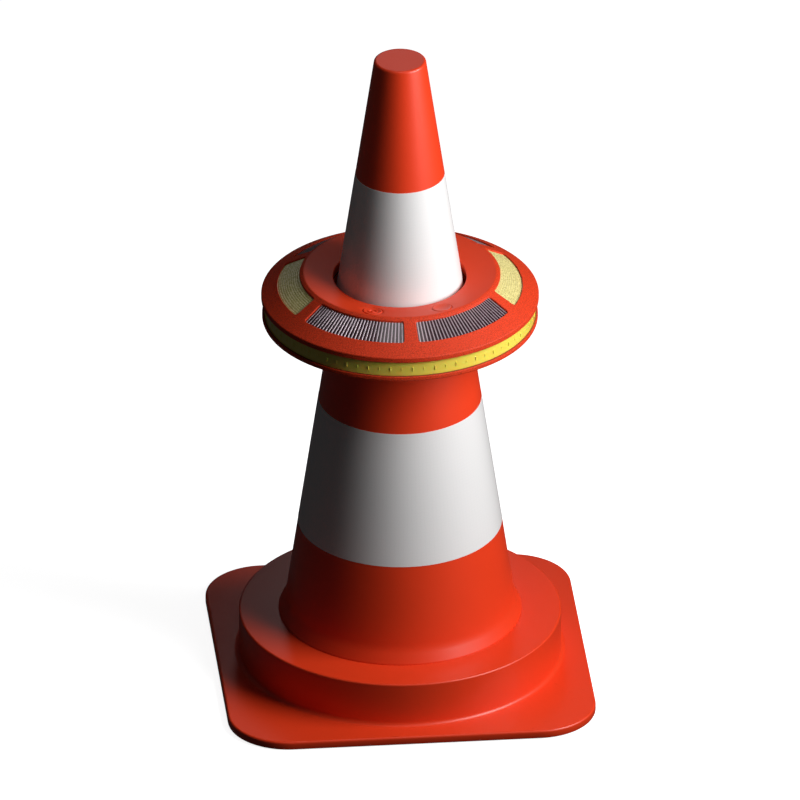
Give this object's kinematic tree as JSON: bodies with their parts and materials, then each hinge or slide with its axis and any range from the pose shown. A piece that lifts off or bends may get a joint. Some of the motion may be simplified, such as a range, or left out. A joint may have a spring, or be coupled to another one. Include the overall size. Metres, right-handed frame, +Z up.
{
  "type": "traffic cone warning light",
  "caption": "Orange road cone with white reflective sleeves and a lift-off ring-shaped solar warning lamp: yellow lens band, solar windows, reflectors and push buttons.",
  "frame": {"origin": "centre of the square base's footprint, on the surface that it stands on", "axes": "+Z up along the cone's axis; the lamp's push buttons face -Y; the base's sides lie along X and Y"},
  "size_m": [0.4092, 0.4092, 0.75],
  "materials": {
    "orange_pvc": "semi-gloss moulded PVC",
    "white_reflective": "retroreflective film, satin",
    "orange_housing": "fine-grained moulded ABS",
    "yellow_lens": "clear tinted polycarbonate",
    "yellow_reflector": "prismatic reflector",
    "solar_cell": "resin-covered solar cell",
    "black_rubber": "matt",
    "recycled_rubber": "rough recycled rubber",
    "black_plastic": "matt moulded plastic",
    "steel": "zinc plated",
    "circuit_board": "solder mask",
    "led_epoxy": "clear epoxy",
    "cell_wrap": "shrink wrap",
    "lead_red": "insulated lead"
  },
  "bodies": {
    "cone": {"cone_shell": "orange_pvc", "upper_sleeve": "white_reflective", "lower_sleeve": "white_reflective", "base_moulding": "orange_pvc", "rubber_feet": "black_rubber", "ballast_ring": "recycled_rubber", "base_cover": "black_plastic", "base_cover_screws": "steel"},
    "seat": {"seat_ring": "black_rubber"},
    "lamp": {"top_shell": "orange_housing", "bottom_shell": "orange_housing", "lens_ring": "yellow_lens", "lower_lens_seal": "black_rubber", "upper_lens_seal": "black_rubber", "bore_seal": "black_rubber", "shell_screws": "steel", "solar_panel_front_right": "solar_cell", "solar_panel_front_left": "solar_cell", "solar_panel_rear_right": "solar_cell", "solar_panel_rear_left": "solar_cell", "reflector_right": "yellow_reflector", "reflector_left": "yellow_reflector", "button_boots": "black_rubber", "control_board": "circuit_board", "led_board": "circuit_board", "leds": "led_epoxy", "tact_switches": "black_plastic", "board_components": "black_plastic", "battery_cell_right": "cell_wrap", "battery_cradle_right": "black_plastic", "battery_lead_right": "lead_red", "battery_cell_left": "cell_wrap", "battery_cradle_left": "black_plastic", "battery_lead_left": "lead_red"},
    "power_button": {"power_button": "orange_housing"},
    "mode_button": {"mode_button": "orange_housing"}
  },
  "joints": [
    {"name": "lamp_lift", "type": "slide", "parent": "cone", "child": "seat", "axis": [0, 0, 1], "range_m": [0, 0.34]},
    {"name": "lamp_turn", "type": "hinge", "parent": "seat", "child": "lamp", "pos_m": [0, 0, 0.45], "axis": [0, 0, 1], "continuous": true},
    {"name": "power_press", "type": "slide", "parent": "lamp", "child": "power_button", "axis": [0, 0, -1], "range_m": [0, 0.0012], "stiffness_N_per_m": 1200, "springref_m": -0.0008},
    {"name": "mode_press", "type": "slide", "parent": "lamp", "child": "mode_button", "axis": [0, 0, -1], "range_m": [0, 0.0012], "stiffness_N_per_m": 1200, "springref_m": -0.0008}
  ]
}
